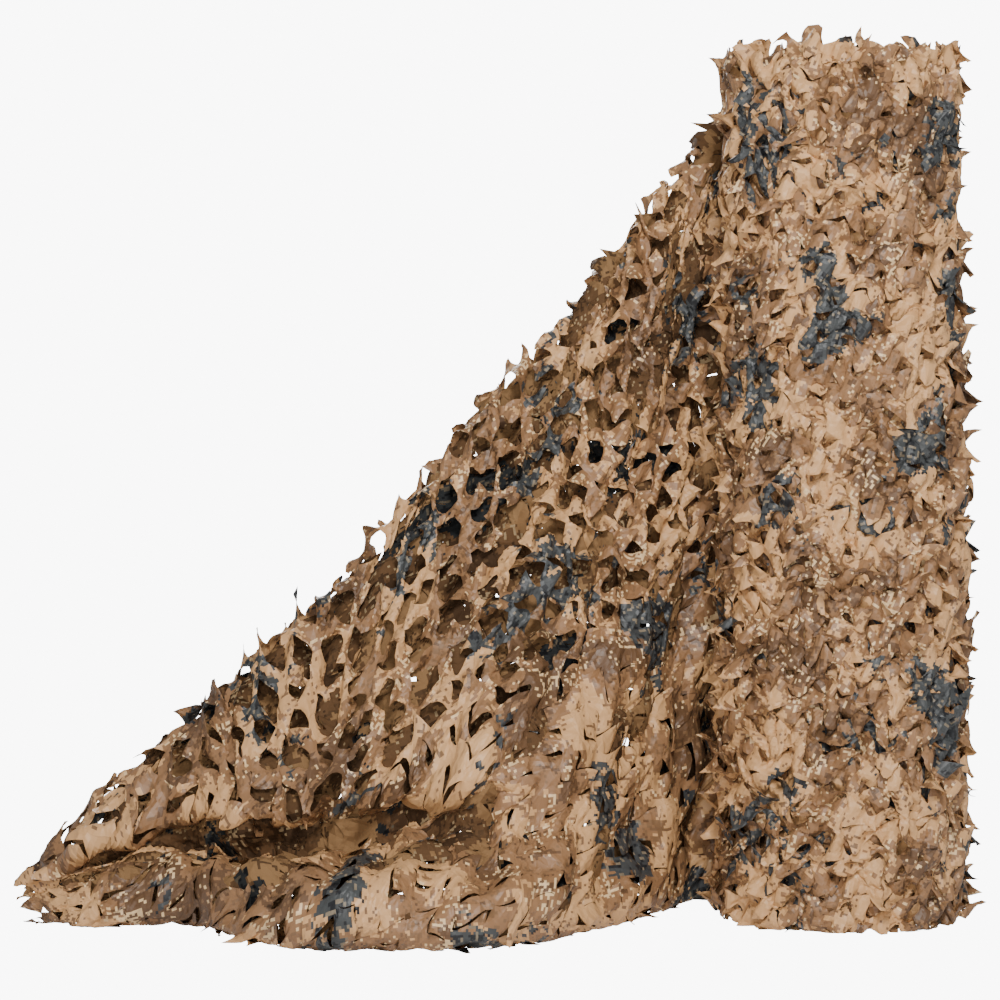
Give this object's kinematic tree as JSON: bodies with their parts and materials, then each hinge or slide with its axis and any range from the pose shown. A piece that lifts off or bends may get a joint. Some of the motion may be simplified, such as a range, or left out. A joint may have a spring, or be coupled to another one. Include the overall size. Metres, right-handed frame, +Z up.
{
  "type": "camouflage netting",
  "caption": "Standing roll of leafy slit-cut camouflage net with its loose end pulled out over a falling ridge and folded on the floor.",
  "frame": {"origin": "centre of the roll's flat foot, on the floor that it stands on", "axes": "+Z up along the roll's axis, -X towards the free end of the drape, -Y to the front of the drape"},
  "size_m": [1.6763, 0.9533, 1.4967],
  "materials": {
    "wound_net": "satin printed polyester, slit-cut leaves in a blocky tan, brown and slate camouflage",
    "draped_net": "satin printed polyester, slit-cut leaves in a blocky tan, brown and slate camouflage"
  },
  "bodies": {
    "root": {"roll": "wound_net", "loose_end": "draped_net"}
  },
  "joints": []
}
